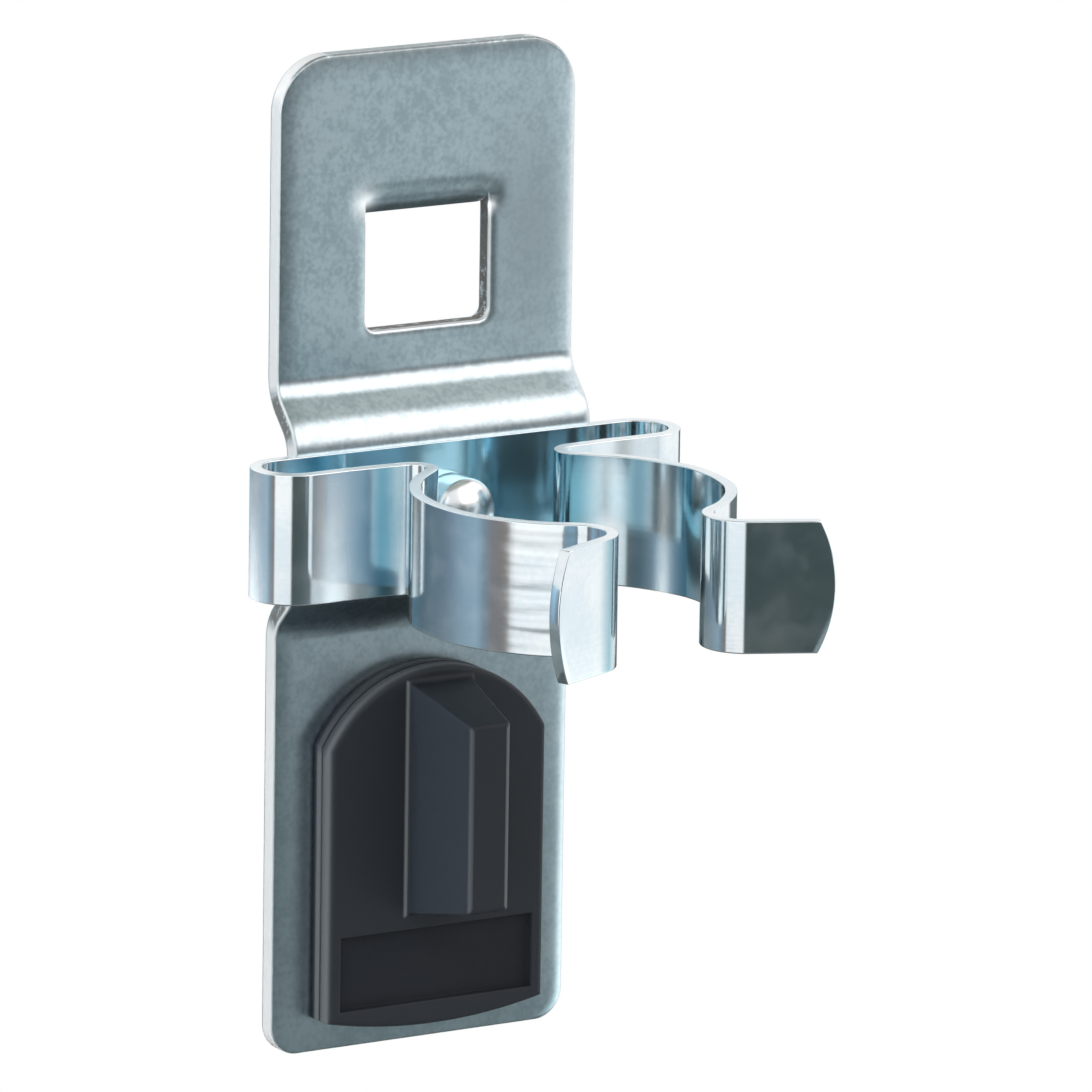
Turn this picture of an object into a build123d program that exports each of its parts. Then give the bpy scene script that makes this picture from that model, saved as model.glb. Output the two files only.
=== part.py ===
from build123d import *
from math import asin, atan, degrees, hypot, radians, tan
import os

# Tool clamp for a perforated panel: a stamped plate hooks into the panel's upper hole,
# a moulded plug snaps into the lower hole, and a riveted spring strip grips a round tool.
# The origin is the centre of the upper panel hole, in the plane of the panel's face.
# +X is to the right, +Y goes into the panel, -Y comes forward to the tool, +Z is up.

# Panel system
hole_size = 10.0  # square panel hole
hole_pitch = 38.0  # upper hole to lower hole
panel_gap = 2.1  # room for the panel's sheet between the plate and what catches behind it
hole_clearance = 0.3  # each side, for what goes through a panel hole

# Back plate
plate_width = 24.0
plate_height = 72.0
plate_above = 15.0  # top edge above the upper hole's centre
plate_thickness = 1.5
top_corner_radius = 4.0
bottom_corner_radius = 2.2

# Raised bridge between two joggles
bridge_drop = 17.2  # bridge centre below the upper hole's centre
bridge_flat = 9.4
bridge_offset = 2.8
joggle_angle = 45.0
joggle_bend = 1.2  # inside radius

# Hook tongue, bent back from the window's top edge
tongue_bend = 0.45  # inside radius
tongue_rise = 7.0  # underside to tip
tongue_corner_radius = 1.5

# Spring strip
strip_thickness = 0.85
strip_width = 9.3
loop_span = 34.0  # across both side loops
loop_bend = 2.2  # inside radius
waist_bend = 0.95  # inside radius
waist_gap = 9.9
flank_length = 2.2  # straight run from each waist to its jaw
jaw_radius = 10.5  # inside radius of the round jaws
throat_bend = 2.2  # inside radius
throat_gap = 7.6
lip_angle = 24.0  # from straight sideways
lip_length = 5.9
lip_end_radius = 10.0

# Rivet
shank_radius = 1.5
shank_clearance = 0.05
head_radius = 2.35
head_side = 2.2  # straight side under the dome
head_height = 3.2
tail_radius = 2.6
tail_height = 1.3
tail_edge = 0.4

# Lock plug
flange_thickness = 2.5
flange_side_margin = 3.2  # to the plate's side
flange_top_gap = 2.8  # to the end of the lower joggle
flange_bottom_margin = 1.6  # to the plate's bottom edge
flange_arch_rise = 5.3
flange_bottom_bulge = 1.0
flange_chamfer = 0.4
recess_margin = 1.0  # to the flange's side
recess_bottom_margin = 1.85
recess_height = 5.35
recess_depth = 0.5
rib_top_margin = 1.0  # to the top of the arch
rib_bottom_margin = 1.2  # to the recess
rib_base_width = 5.0
rib_crest_width = 3.0
rib_height = 7.2
rib_top_slope = 1.7
rib_bottom_slope = 2.0
rib_edge_radius = 0.3
peg_slot = 3.2
peg_floor = 0.6  # solid length behind the plate before the peg's slot
peg_barb = 0.35  # catch beyond the panel hole's edge
peg_lead = 4.2  # catch to tip
peg_tip_inset = 1.4

# Levels and places that follow from the sizes above
half_turn = 180.0  # degrees
bend_share = tan(radians(joggle_angle / 2))  # corner to bend line, per unit of bend radius
plate_bottom = plate_above - plate_height
bridge_z = -bridge_drop
bridge_edge = bridge_flat / 2 + joggle_bend * bend_share  # bridge corner from the bridge centre
joggle_edge = bridge_edge + bridge_offset / tan(radians(joggle_angle))
joggle_end = joggle_edge + (joggle_bend + plate_thickness) * bend_share
bridge_front = -(bridge_offset + plate_thickness)
lock_z = -hole_pitch
through_width = hole_size - 2 * hole_clearance

os.makedirs("parts", exist_ok=True)

# Back plate: side profile drawn along the rear face, then the punched outline and holes
outer_bend = joggle_bend + plate_thickness
with BuildPart() as back_plate:
    with BuildSketch(Plane.YZ):
        with BuildLine():
            FilletPolyline(
                (0, plate_above),
                (0, bridge_z + joggle_edge),
                (-bridge_offset, bridge_z + bridge_edge),
                (-bridge_offset, bridge_z - bridge_edge),
                (0, bridge_z - joggle_edge),
                (0, plate_bottom),
                radius=[outer_bend, joggle_bend, joggle_bend, outer_bend],
            )
            offset(amount=plate_thickness, side=Side.RIGHT)
        make_face()
    extrude(amount=plate_width / 2, both=True)
    upright = back_plate.edges().filter_by(Axis.Y).group_by(Axis.Z)
    fillet(upright[-1], radius=top_corner_radius)
    fillet(upright[0], radius=bottom_corner_radius)
    with BuildSketch(Plane.XZ):
        with Locations((0, 0), (0, lock_z)):
            Rectangle(hole_size, hole_size)
    extrude(amount=plate_thickness, mode=Mode.SUBTRACT)
    with BuildSketch(Plane.XZ):
        with Locations((0, bridge_z)):
            Circle(shank_radius + shank_clearance)
    extrude(amount=-bridge_front, mode=Mode.SUBTRACT)
    tongue_root = hole_size / 2
    tongue_top = tongue_root - tongue_bend
    tongue_tip = tongue_top - plate_thickness + tongue_rise
    with BuildSketch(Plane.YZ):
        with BuildLine():
            FilletPolyline(
                (0, tongue_root + plate_thickness),
                (0, tongue_top),
                (panel_gap, tongue_top),
                (panel_gap, tongue_tip),
                radius=tongue_bend,
            )
            offset(amount=plate_thickness, side=Side.RIGHT)
        make_face()
    extrude(amount=through_width / 2, both=True)
    tip_edges = back_plate.edges().filter_by(Axis.Y).group_by(Axis.Y)[-1]
    fillet(tip_edges, radius=tongue_corner_radius)
back_plate.part.label = "back_plate"
export_step(back_plate.part, "parts/back_plate.step")

# Spring strip: plan of the right half along its outer face, then the other half and the lip ends
loop_outer = loop_bend + strip_thickness
jaw_outer = jaw_radius + strip_thickness
waist_x = waist_gap / 2 + strip_thickness + waist_bend
throat_x = throat_gap / 2 + strip_thickness + throat_bend
jaw_sum = jaw_outer + waist_bend
jaw_turn = asin(waist_x / hypot(jaw_sum, flank_length)) + atan(flank_length / jaw_sum)
jaw_start = degrees(jaw_turn)
jaw_end = half_turn - degrees(asin(throat_x / (jaw_outer + throat_bend)))
with BuildPart() as spring_clip:
    with BuildSketch(Plane.XY.offset(bridge_z)):
        with BuildLine():
            base = Line((0, bridge_front), (loop_span / 2 - loop_outer, bridge_front))
            loop = JernArc(base @ 1, base % 1, radius=loop_outer, arc_size=-half_turn)
            leg = Line(loop @ 1, (waist_x, (loop @ 1).Y))
            waist = JernArc(leg @ 1, leg % 1, radius=waist_bend, arc_size=half_turn - jaw_start)
            flank = PolarLine(waist @ 1, length=flank_length, direction=waist % 1)
            jaw = JernArc(flank @ 1, flank % 1, radius=jaw_outer, arc_size=jaw_start - jaw_end)
            throat = JernArc(jaw @ 1, jaw % 1, radius=throat_bend, arc_size=jaw_end - lip_angle)
            lip = PolarLine(throat @ 1, length=lip_length, direction=throat % 1)
            offset(amount=strip_thickness, side=Side.RIGHT)
        make_face()
        mirror(about=Plane.YZ)
    extrude(amount=strip_width / 2, both=True)
    tip = lip @ 1
    aim = lip % 1
    for side in (1, -1):
        lip_face = Plane(
            origin=(side * tip.X, tip.Y, bridge_z),
            x_dir=(side * aim.X, aim.Y, 0),
            z_dir=(-aim.Y, side * aim.X, 0),
        )
        with BuildSketch(lip_face):
            Rectangle(lip_length, 2 * strip_width)
            with Locations((-lip_end_radius, 0)):
                Circle(lip_end_radius, mode=Mode.SUBTRACT)
        extrude(amount=2 * strip_thickness, both=True, mode=Mode.SUBTRACT)
    with BuildSketch(Plane.XZ.offset(-bridge_front)):
        with Locations((0, bridge_z)):
            Circle(shank_radius + shank_clearance)
    extrude(amount=strip_thickness, mode=Mode.SUBTRACT)
spring_clip.part.label = "spring_clip"
export_step(spring_clip.part, "parts/spring_clip.step")

# Rivet: half section turned about its own axis, domed head in front and upset tail behind the bridge
head_seat = bridge_front - strip_thickness
head_shoulder = head_seat - head_side
dome_rise = head_height - head_side
dome_radius = (head_radius**2 + dome_rise**2) / (2 * dome_rise)
with BuildPart() as clip_rivet:
    with BuildSketch(Plane.XY.offset(bridge_z)):
        with BuildLine():
            Polyline(
                (0, head_seat - head_height),
                (0, -bridge_offset + tail_height),
                (tail_radius - tail_edge, -bridge_offset + tail_height),
                (tail_radius, -bridge_offset + tail_height - tail_edge),
                (tail_radius, -bridge_offset),
                (shank_radius, -bridge_offset),
                (shank_radius, head_seat),
                (head_radius, head_seat),
                (head_radius, head_shoulder),
            )
            RadiusArc((head_radius, head_shoulder), (0, head_seat - head_height), dome_radius)
        make_face()
    revolve(axis=Axis((0, 0, bridge_z), (0, 1, 0)))
clip_rivet.part.label = "clip_rivet"
export_step(clip_rivet.part, "parts/clip_rivet.step")

# Lock plug: arched flange with a recess, finger rib in front and split snap peg behind
flange_half = plate_width / 2 - flange_side_margin
flange_top = bridge_z - joggle_end - flange_top_gap
flange_bottom = plate_bottom + flange_bottom_margin
flange_front = -(plate_thickness + flange_thickness)
shoulder_z = flange_top - flange_arch_rise
foot_z = flange_bottom + flange_bottom_bulge
recess_bottom = flange_bottom + recess_bottom_margin
recess_top = recess_bottom + recess_height
rib_top = flange_top - rib_top_margin
rib_bottom = recess_top + rib_bottom_margin
crest_top = rib_top - rib_top_slope
crest_bottom = rib_bottom + rib_bottom_slope
rib_front = flange_front - rib_height
peg_half = through_width / 2
catch_half = hole_size / 2 + peg_barb
peg_tip = panel_gap + peg_lead
with BuildPart() as lock_plug:
    with BuildSketch(Plane.XZ.offset(plate_thickness)):
        with BuildLine():
            Line((-flange_half, shoulder_z), (-flange_half, foot_z))
            ThreePointArc((-flange_half, foot_z), (0, flange_bottom), (flange_half, foot_z))
            Line((flange_half, foot_z), (flange_half, shoulder_z))
            ThreePointArc((flange_half, shoulder_z), (0, flange_top), (-flange_half, shoulder_z))
        make_face()
    extrude(amount=flange_thickness)
    chamfer(lock_plug.faces().sort_by(Axis.Y)[0].edges(), length=flange_chamfer)
    with BuildSketch(Plane.XZ.offset(-flange_front)):
        with Locations((0, (recess_top + recess_bottom) / 2)):
            Rectangle(2 * (flange_half - recess_margin), recess_height)
    extrude(amount=-recess_depth, mode=Mode.SUBTRACT)
    with BuildSketch(Plane.XZ.offset(-flange_front)):
        with Locations((0, (rib_top + rib_bottom) / 2)):
            Rectangle(rib_base_width, rib_top - rib_bottom)
    with BuildSketch(Plane.XZ.offset(-rib_front)):
        with Locations((0, (crest_top + crest_bottom) / 2)):
            Rectangle(rib_crest_width, crest_top - crest_bottom)
    loft()
    crest = lock_plug.faces().sort_by(Axis.Y)[0]
    fillet(crest.edges(), radius=rib_edge_radius)
    with BuildSketch(Plane.XY.offset(lock_z)):
        with BuildLine():
            Polyline(
                (0, -plate_thickness),
                (peg_half, -plate_thickness),
                (peg_half, panel_gap),
                (catch_half, panel_gap),
                (catch_half - peg_tip_inset, peg_tip),
                (peg_slot / 2, peg_tip),
                (peg_slot / 2, peg_floor),
                (0, peg_floor),
                close=True,
            )
        make_face()
        mirror(about=Plane.YZ)
    extrude(amount=through_width / 2, both=True)
lock_plug.part.label = "lock_plug"
export_step(lock_plug.part, "parts/lock_plug.step")
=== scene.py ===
import bmesh
import bpy
import numpy as np
from mathutils import Matrix, Vector


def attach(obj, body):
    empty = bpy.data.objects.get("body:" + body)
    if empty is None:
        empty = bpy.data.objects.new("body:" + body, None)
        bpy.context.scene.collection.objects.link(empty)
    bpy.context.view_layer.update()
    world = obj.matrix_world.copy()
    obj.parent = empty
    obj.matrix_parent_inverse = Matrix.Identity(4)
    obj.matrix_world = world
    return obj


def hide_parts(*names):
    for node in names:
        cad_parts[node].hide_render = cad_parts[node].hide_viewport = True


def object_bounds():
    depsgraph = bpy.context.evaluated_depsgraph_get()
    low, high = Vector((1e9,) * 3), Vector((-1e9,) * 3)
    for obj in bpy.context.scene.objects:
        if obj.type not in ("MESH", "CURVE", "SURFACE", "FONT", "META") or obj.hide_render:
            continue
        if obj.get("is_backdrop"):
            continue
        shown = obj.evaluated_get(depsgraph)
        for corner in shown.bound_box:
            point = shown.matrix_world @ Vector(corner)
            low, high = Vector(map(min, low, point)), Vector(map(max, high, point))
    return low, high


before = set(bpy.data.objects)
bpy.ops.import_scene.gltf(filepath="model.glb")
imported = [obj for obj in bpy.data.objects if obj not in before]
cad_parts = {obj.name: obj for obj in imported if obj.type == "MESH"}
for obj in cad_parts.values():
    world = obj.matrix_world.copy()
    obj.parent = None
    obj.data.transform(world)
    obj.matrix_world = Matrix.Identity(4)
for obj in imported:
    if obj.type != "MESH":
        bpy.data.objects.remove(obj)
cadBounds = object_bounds()
mm = 0.001  # the shapes below are written in millimetres
weld, sliver = 1e-7, 1e-8  # metres
noEdge = 99.0  # farther than any edge
print("frame loaded:", sorted(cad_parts))


def spread(marks, gap):  # every mark, with even steps no longer than gap between neighbours
    marks = np.unique(np.round(marks, 5))
    counts = np.maximum(np.ceil(np.diff(marks) / gap - 1e-6), 1).astype(int)
    runs = [np.linspace(a, b, n, endpoint=False) for a, b, n in zip(marks[:-1], marks[1:], counts)]
    return np.concatenate(runs + [marks[-1:]])


def even(count):  # fractions of a step, its start left out
    return np.arange(1, count + 1) / count


def bentPath(start, heading, steps):
    # a run is (length, 0, fractions) and goes straight on
    # a bend is (radius, turn, fractions) and swings round a centre at its side
    here, points, headings = np.array(start, float), [], []
    for size, turn, at in steps:
        at = np.asarray(at, float)
        along = np.array([np.cos(heading), np.sin(heading)])
        if turn == 0:
            points.append(here + np.outer(at * size, along))
            headings.append(np.full(len(at), heading))
            here = here + size * along
        else:
            side = np.sign(turn)
            centre = here + side * size * np.array([-along[1], along[0]])
            angle = heading + at * turn
            points.append(centre + side * size * np.stack([np.sin(angle), -np.cos(angle)], 1))
            headings.append(angle)
            heading = heading + turn
            here = centre + side * size * np.array([np.sin(heading), -np.cos(heading)])
    return np.concatenate(points), np.concatenate(headings)


def rollOff(distance, reach, depth):  # drop at a rolled edge: a quarter ellipse that ends at the edge
    inner = np.clip(1 - distance / reach, 0, 1)
    return depth * (1 - np.sqrt(1 - inner ** 2))


def dieRoll(distance, bow, rim):  # edge left by punching: a wide parabola, then a small quarter ellipse
    return bow[1] * np.clip(1 - distance / bow[0], 0, 1) ** 2 + rollOff(distance, *rim)


def smooth(value, low, high):  # 0 up to low, 1 from high, an S curve between
    share = np.clip((value - low) / (high - low), 0, 1)
    return share * share * (3 - 2 * share)


class Shell:  # points, faces and marks of one piece while it is put together
    def __init__(self, *labels):
        self.points, self.faces = np.zeros((0, 3)), []
        self.marks = {label: np.zeros(0) for label in labels}

    def add(self, table, **marks):  # returns the numbers of the new points, in the table's layout
        first = len(self.points)
        self.points = np.concatenate([self.points, table.reshape(-1, 3)])
        for label, values in self.marks.items():
            fresh = np.broadcast_to(marks.get(label, 0.0), table.shape[:-1]).reshape(-1)
            self.marks[label] = np.concatenate([values, fresh])
        return first + np.arange(len(self.points) - first).reshape(table.shape[:-1])

    def skin(self, index, keep=None, wrap=False):  # quads over a table of point numbers
        if wrap:
            index = np.concatenate([index, index[:, :1]], 1)
        quads = np.stack([index[:-1, :-1], index[1:, :-1], index[1:, 1:], index[:-1, 1:]], -1)
        self.faces += (quads.reshape(-1, 4) if keep is None else quads[keep]).tolist()

    def wall(self, front, rear, shares, **marks):  # cut face between two runs, rows at shares of the way
        a, b = self.points[front], self.points[rear]
        rows = a[None] + (b - a)[None] * np.asarray(shares)[:, None, None]
        self.skin(np.concatenate([front[None], self.add(rows, **marks), rear[None]]))

    def finish(self, name, node, slotName):
        mesh = bpy.data.meshes.new(name)
        mesh.from_pydata((self.points * mm).tolist(), [], self.faces)
        for label, values in self.marks.items():
            layer = mesh.attributes.new(label, "FLOAT", "POINT")
            layer.data.foreach_set("value", values.astype(np.float32))
        work = bmesh.new()
        work.from_mesh(mesh)
        bmesh.ops.remove_doubles(work, verts=work.verts, dist=weld)
        bmesh.ops.dissolve_degenerate(work, edges=work.edges, dist=sliver)
        bmesh.ops.recalc_face_normals(work, faces=work.faces)
        work.to_mesh(mesh)
        work.free()
        mesh.polygons.foreach_set("use_smooth", np.ones(len(mesh.polygons), bool))
        piece = bpy.data.objects.new(name, mesh)
        bpy.context.scene.collection.objects.link(piece)
        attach(piece, "root")
        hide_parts(node)
        print("made", name, len(mesh.vertices), "points")
        return piece


plateSpec = {
    "width": 24.0, "top": 15.0, "bottom": -57.0, "thickness": 1.5, "topCorner": 4.0, "bottomCorner": 2.2,
    "hole": 5.0, "holeCorner": 0.85, "cornerRows": (-9.0, 0.0), "pinchReach": 2.4, "lockCentre": -38.0,
    "bridgeCentre": -17.2, "bridgeFlat": 8.489, "bridgeOut": 2.8, "bendInside": 2.3,
    "moreRows": (2.8, 1.8), "moreColumns": (7.0, 8.0),
    "tongueHalf": 4.7, "tongueBend": 0.45, "tongueReach": 2.1, "tongueTip": 10.05, "tongueCorner": 1.5,
    "narrowRows": (9, 16), "burrRows": (11, 15), "fanRows": 8,  # counted along the tongue
    "rootLead": 0.9, "rootDown": 0.9, "rootDeep": 2.5,  # outside of the tongue's bend
    "rootEnds": (3.7, 6.4), "rootFade": (2.4, 4.6), "lagFade": (0.25, 0.8),  # where that ends
    "plainFrom": (3.2, 4.6), "plainTo": (12.0, 14.0), "plainGap": 3.0,  # no punched edge at the root
    "edgeRoll": ((1.7, 0.17), (0.16, 0.15)),  # reach and depth of the wide bow and of the rim
    "topRoll": 0.6, "leftRoll": 0.65, "rightRoll": 0.9,  # less at the top and left, a wider rim at the right
    "topFade": (12.5, 14.2), "sideFade": (9.0, 11.0), "rightFade": (11.5, 14.2),
    "holeRoll": ((0.7, 0.09), (0.2, 0.14)), "burrRoll": (0.15, 0.12),
    "paleReach": 0.22, "dullReach": 0.35, "dullFade": (13.5, 14.5), "dullShare": 0.7,
    "glintFade": (11.2, 11.9), "glintShare": 0.4,  # painted highlight line at the right edge
    "leanFade": (0.2, 0.6), "leanShare": 0.9, "endTorn": 0.5, "tongueTorn": 0.7,
    "stretch": ((-5.05, 4.25, 0.9, 0.95), (5.15, 3.2, 0.38, 0.45)),  # centre and size of each bell of painted highlight
    # centre and size of each patch of painted shade: right of the window and over the lower plate
    "tarnish": ((8.6, 1.5, 4.2, 7.5), (0.0, -44.0, 16.0, 16.0)),
}
soft = np.array([0, 0.03, 0.08, 0.16, 0.27, 0.4, 0.55, 0.75, 1.0, 1.3])  # steps away from a rolled edge
quarter = np.sin(np.linspace(0, 90, 13) * np.pi / 180)  # shares along a corner's arc


def plateProfile(p):
    # rear face from the side as (forward, up): straight, two bends out, bridge, two bends back, straight
    share, turn = np.tan(np.pi / 8), np.pi / 4
    outer = p["bendInside"] + p["thickness"]
    slope = p["bridgeOut"] * np.sqrt(2) - (outer + p["bendInside"]) * share
    reach = p["bridgeFlat"] / 2 + p["bendInside"] * share + p["bridgeOut"] + outer * share
    upEnd, lowStart = p["bridgeCentre"] + reach, p["bridgeCentre"] - reach
    upper, lower = p["top"] - upEnd, lowStart - p["bottom"]
    upZ = np.concatenate([p["top"] - p["topCorner"] * (1 - quarter), p["top"] - soft, p["hole"] + soft,
                          -p["hole"] - soft, p["holeCorner"] * (1 - quarter) - p["hole"],
                          p["hole"] - soft[4:], p["moreRows"], [upEnd]])
    lowZ = np.concatenate([p["bottom"] + p["bottomCorner"] * (1 - quarter), p["bottom"] + soft, [lowStart],
                           p["lockCentre"] + p["hole"] + soft, p["lockCentre"] - p["hole"] - soft])
    upAt = np.sort((p["top"] - spread(upZ, 0.8)) / upper)
    lowAt = np.sort((lowStart - spread(lowZ, 0.9)) / lower)
    joggle = [(outer, turn, even(16)), (slope, 0, even(4)), (p["bendInside"], -turn, even(14))]
    bridge = [(p["bridgeFlat"], 0, even(10))]
    steps = [(upper, 0, upAt)] + joggle + bridge + joggle[::-1] + [(lower, 0, lowAt[1:])]
    return bentPath((0, p["top"]), -np.pi / 2, steps)


def drawnIn(p, x, z):
    # sheet going back into the tongue: the fall of the bend's outer ellipse, fading out beside the window
    tall = p["tongueBend"] + p["thickness"] + p["rootLead"]
    below = np.clip(p["hole"] + p["rootLead"] - z, 0, p["rootLead"] + p["rootDown"]) / tall
    fall = p["rootDeep"] * (1 - np.sqrt(1 - below ** 2))
    return fall * smooth(z, *p["rootFade"]) * (1 - smooth(np.abs(x), *p["rootEnds"]))


def bells(spots, x, z):  # sum of bell shapes, one for each spot of (centre x, centre z, size x, size z)
    total = np.zeros(np.broadcast(x, z).shape)
    for cx, cz, sx, sz in spots:
        total = total + np.exp(-((x - cx) / sx) ** 2 - ((z - cz) / sz) ** 2)
    return total


def plateTable(p, z):
    # columns of the sheet: drawn in along the outline's corner arcs and round the window's lower corners
    half, hole = p["width"] / 2, p["hole"]
    side = spread(np.concatenate([[0], half - soft, hole + soft, hole - soft[:8], p["moreColumns"]]), 0.6)
    across = np.concatenate([-side[:0:-1], side])
    rise = np.clip(z - p["top"] + p["topCorner"], 0, p["topCorner"])
    drop = np.clip(p["bottom"] + p["bottomCorner"] - z, 0, p["bottomCorner"])
    pull = p["topCorner"] - np.sqrt(p["topCorner"] ** 2 - rise ** 2)
    pull = pull + p["bottomCorner"] - np.sqrt(p["bottomCorner"] ** 2 - drop ** 2)
    x = across[None, :] * ((half - pull) / half)[:, None]
    low = np.clip(-z - hole + p["holeCorner"], 0, p["holeCorner"])
    pinch = p["holeCorner"] - np.sqrt(p["holeCorner"] ** 2 - low ** 2)
    pinch = (pinch * np.clip(1 + (z + hole) / p["pinchReach"], 0, 1))[:, None]
    away = np.abs(across)[None, :]
    inside = away / hole
    outside = np.clip(1 - (away - hole) / p["pinchReach"], 0, 1)
    return across, x - np.sign(across)[None, :] * pinch * np.where(away < hole, inside, outside)


def plateGap(p, x, z):  # distance to the outline and to the holes' edges
    half, cx = p["width"] / 2, np.abs(x)
    edge = half - cx
    corners = ((p["top"] - p["topCorner"], p["topCorner"], 1),
               (p["bottom"] + p["bottomCorner"], p["bottomCorner"], -1))
    for level, radius, sign in corners:
        past = sign * (z - level)
        edge = np.where(past > 0, np.minimum(edge, radius - past), edge)
        atCorner = (past > 0) & (cx > half - radius)
        edge = np.where(atCorner, radius - np.hypot(cx - half + radius, past), edge)
    low, high = p["cornerRows"]
    radius = np.where((z > low) & (z < high), p["holeCorner"], 0.0)  # the window's lower corners
    hole = np.full(x.shape, noEdge)
    for centre in (0.0, p["lockCentre"]):
        qx = np.maximum(cx - p["hole"] + radius, 0)
        qz = np.maximum(np.abs(z - centre) - p["hole"] + radius, 0)
        hole = np.minimum(hole, np.hypot(qx, qz) - radius)
    drawn = p["plainGap"] * smooth(z, *p["plainFrom"]) * (1 - smooth(z, *p["plainTo"]))
    return np.maximum(edge, 0), np.maximum(hole, 0) + drawn


def plateSurface(p):
    shell = Shell("cut", "pale", "fan", "dim")  # marks of painted highlight by the window and at the right edge, and of painted shade in broad patches; pale: paler edges, partly the burnished band of a cut, partly painted highlight
    rear, heading = plateProfile(p)
    forward = np.stack([-np.sin(heading), np.cos(heading)], 1)
    across, x = plateTable(p, rear[:, 1])
    z = np.broadcast_to(rear[:, 1:], x.shape)
    edge, hole = plateGap(p, x, z)
    # front sheet: thickness less the rolled edges and the drawn-in corners; rear sheet: a small burr roll
    bow, rim = p["edgeRoll"]
    fall = bow[1] * (1 - (1 - p["topRoll"]) * smooth(z, *p["topFade"]))
    fall = fall * (1 - (1 - p["leftRoll"]) * smooth(-x, *p["sideFade"]))
    rightSide = smooth(x, *p["sideFade"]) * (1 - smooth(z, *p["rightFade"]))
    reach = rim[0] + (p["rightRoll"] - rim[0]) * rightSide
    front = p["thickness"] - dieRoll(edge, (bow[0], fall), (reach, rim[1]))
    front = front - dieRoll(hole, *p["holeRoll"]) - drawnIn(p, x, z)
    back = rollOff(np.minimum(edge, hole), *p["burrRoll"])
    place = lambda line, out, wide, depth: np.stack([wide, -(line[:, :1] + out[:, :1] * depth),
                                                     line[:, 1:] + out[:, 1:] * depth], -1)
    # shine: paler, less metallic metal right at the edges and holes, partly the burnished band of the cut,
    # partly painted highlight; dull lays the darker cut colour along the front's top edge
    shine = 1 - np.clip(np.minimum(edge * 2, hole) / p["paleReach"], 0, 1)
    dull = p["dullShare"] * smooth(z, *p["dullFade"]) * (1 - np.clip(edge / p["dullReach"], 0, 1))
    fan = bells(p["stretch"], x, z) + p["glintShare"] * rightSide * smooth(x, *p["glintFade"])
    f = shell.add(place(rear, forward, x, front), pale=np.where(dull > 0, 0, shine), cut=dull,
                  fan=fan, dim=bells(p["tarnish"], x, z))
    r = shell.add(place(rear, forward, x, back))
    rowAt = lambda level: int(np.argmin(np.abs(rear[:, 1] - level)))
    columnAt = lambda level: int(np.argmin(np.abs(across - level)))
    left, right = columnAt(-p["hole"]), columnAt(p["hole"])
    windows = [(rowAt(c + p["hole"]), rowAt(c - p["hole"])) for c in (0.0, p["lockCentre"])]
    keep = np.ones((x.shape[0] - 1, x.shape[1] - 1), bool)
    for a, b in windows:
        keep[a:b, left:right] = False
    shell.skin(f, keep)
    shell.skin(r, keep)

    # tongue: the same sheet carried on round two bends behind the panel, narrowing to pass the panel's hole
    tip = p["tongueTip"] - p["hole"]
    riseMarks = [[0], tip - soft, tip - p["tongueCorner"] * (1 - quarter)]
    rise = spread(np.concatenate(riseMarks), 0.7)[1:] / tip
    bend, bendRows, flatRows = p["tongueBend"], 12, 3
    turn = (bend, -np.pi / 2, even(bendRows))
    steps = [turn, (p["tongueReach"] - 2 * bend, 0, even(flatRows)), turn, (tip, 0, rise)]
    line, way = bentPath((0, p["hole"]), -np.pi / 2, steps)
    out = np.stack([-np.sin(way), np.cos(way)], 1)
    count = np.arange(len(line))
    width = p["hole"] + (p["tongueHalf"] - p["hole"]) * smooth(count, *p["narrowRows"])
    beyond = np.clip(line[:, 1] - p["tongueTip"] + p["tongueCorner"], 0, p["tongueCorner"])
    past = np.where(count >= 2 * bendRows + flatRows, beyond, 0)
    pull = p["tongueCorner"] - np.sqrt(p["tongueCorner"] ** 2 - past ** 2)
    root = slice(left, right + 1)
    tx = across[None, root] * ((width - pull) / p["hole"])[:, None]
    gap = (width - pull)[:, None] - np.abs(tx)
    gap = np.maximum(np.minimum(gap, np.where(past > 0, p["tongueCorner"] - past, noEdge)[:, None]), 0)
    # outside of the first bend: an ellipse from above the window, then straight on; its ends lag behind
    tall, deep = bend + p["thickness"] + p["rootLead"], p["rootDeep"]
    begin = np.arcsin(p["rootLead"] / tall)
    angle = begin + (np.pi / 2 - begin) * even(bendRows)
    flat = slice(bendRows, bendRows + flatRows)
    face = line + out * p["thickness"]
    face[:bendRows, 0] = p["thickness"] - deep * (1 - np.cos(angle))
    face[:bendRows, 1] = p["hole"] + p["rootLead"] - tall * np.sin(angle)
    face[flat, 0] = np.linspace(p["thickness"] - deep, face[flat.stop - 1, 0], flatRows + 1)[1:]
    face[flat, 1] = p["hole"] - bend - p["thickness"]
    lag = deep * (1 - np.cos(angle)) * (1 - smooth(even(bendRows), *p["lagFade"]))
    lag = np.append(lag, np.zeros(len(line) - bendRows))[:, None] * smooth(np.abs(tx), *p["rootEnds"])
    drop = rollOff(gap, *p["burrRoll"]) * smooth(count, *p["burrRows"])[:, None]
    a, b = windows[0]
    under = np.stack([tx, -(face[:, :1] + lag - out[:, :1] * drop), face[:, 1:] - out[:, 1:] * drop], -1)
    # painted highlight on the tongue's first rows, by the window's corners
    glint = bells(p["stretch"], tx, face[:, 1:]) * (count < p["fanRows"])[:, None]
    tf = np.concatenate([f[a, root][None], shell.add(under, fan=glint)])
    tr = np.concatenate([r[a, root][None], shell.add(place(line, out, tx, rollOff(gap, *p["burrRoll"])))])
    shell.skin(tf)
    shell.skin(tr)

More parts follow.
